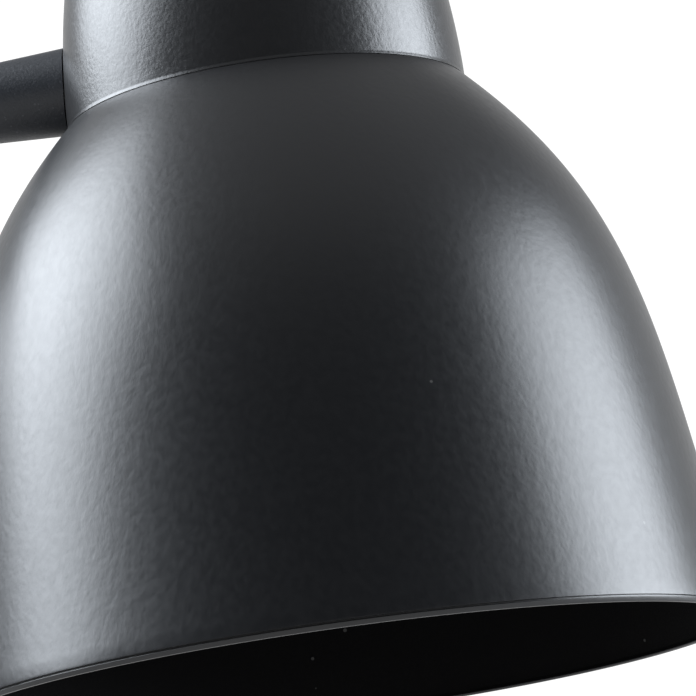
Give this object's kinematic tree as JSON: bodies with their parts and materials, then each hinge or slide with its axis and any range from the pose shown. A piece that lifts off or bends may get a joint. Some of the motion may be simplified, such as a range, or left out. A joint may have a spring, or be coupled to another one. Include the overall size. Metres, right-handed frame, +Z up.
{
  "type": "arc floor lamp",
  "caption": "Floor lamp with a weighted round base, an upright pole, a swivelling quarter-circle arm and a bell-shaded metal head that turns about the arm's tip.",
  "frame": {"origin": "centre of the base's underside, on the floor", "axes": "+Z up along the pole, +X the way the arm reaches at rest, +Y to the lamp's left when looking along +X"},
  "size_m": [0.7721, 0.28, 1.6582],
  "materials": {
    "satin_black": "satin powder coat with a smooth orange peel",
    "fine_black": "satin powder coat with a fine sandy texture",
    "iron": "as cast",
    "steel": "zinc plated",
    "brass": "bare",
    "pad_foam": "matte foam rubber",
    "black_plastic": "fine matte",
    "pale_nylon": "natural nylon",
    "bulb_white": "gloss",
    "opal": "opal, opaque white",
    "bulb_nickel": "nickel plated",
    "spindle_steel": "turned",
    "lead_black": "flexible PVC sheath"
  },
  "bodies": {
    "stand": {"floor_pad": "pad_foam", "base_weight": "iron", "base_cover": "fine_black", "base_washer": "steel", "base_nut": "steel", "base_rod": "steel", "cord_gland": "black_plastic", "pole_foot": "fine_black", "pole_plug": "steel", "pole_lower": "fine_black", "joint_plugs": "steel", "joint_washer": "black_plastic", "joint_rod": "steel", "pole_upper": "fine_black", "swivel_collar": "fine_black", "thrust_washer": "pale_nylon", "lower_bush": "pale_nylon", "upper_bush": "black_plastic", "clamp_slug": "pale_nylon", "lead_pole": "lead_black"},
    "clamp": {"clamp_screw": "steel", "clamp_knob": "fine_black"},
    "arm": {"arc_tube": "fine_black", "arc_stop_screw": "steel", "tip_spindle": "steel", "tip_washer": "pale_nylon", "wave_washer": "steel", "tip_nut": "steel", "tab_washer": "steel", "lead_arm": "lead_black"},
    "head": {"side_stub": "fine_black", "stub_stop_screw": "steel", "stub_insert": "steel", "side_nipple": "steel", "neck_cup": "satin_black", "saddle_washer": "steel", "holder_bracket": "steel", "lock_washer": "steel", "bracket_nuts": "steel", "top_nipple": "steel", "dome_washer": "black_plastic", "holder_dome": "black_plastic", "holder_skirt": "black_plastic", "holder_core": "pale_nylon", "terminal_screws": "steel", "screw_shell": "brass", "centre_contact": "brass", "shade_ring": "black_plastic", "shade": "satin_black", "bulb_cap": "bulb_nickel", "bulb_contact": "brass", "bulb_collar": "bulb_white", "bulb_globe": "opal", "switch_body": "black_plastic", "switch_washer": "pale_nylon", "switch_nut": "steel", "lead_head": "lead_black", "lead_holder": "lead_black"},
    "dial": {"switch_spindle": "spindle_steel", "switch_dial": "black_plastic"}
  },
  "joints": [
    {"name": "arm_swivel", "type": "hinge", "parent": "stand", "child": "arm", "pos_m": [0, 0, 1.1055], "axis": [0, 0, 1], "range_deg": [-145, 145]},
    {"name": "head_swivel", "type": "hinge", "parent": "arm", "child": "head", "pos_m": [0.472, 0, 1.58], "axis": [1, 0, 0], "range_deg": [-150, 150]},
    {"name": "clamp_turn", "type": "hinge", "parent": "stand", "child": "clamp", "pos_m": [-0.015, 0, 1.125], "axis": [1, 0, 0], "range_deg": [0, 360]},
    {"name": "dial_turn", "type": "hinge", "parent": "head", "child": "dial", "pos_m": [0.542, 0, 1.6414], "axis": [0, 0, 1], "continuous": true}
  ]
}
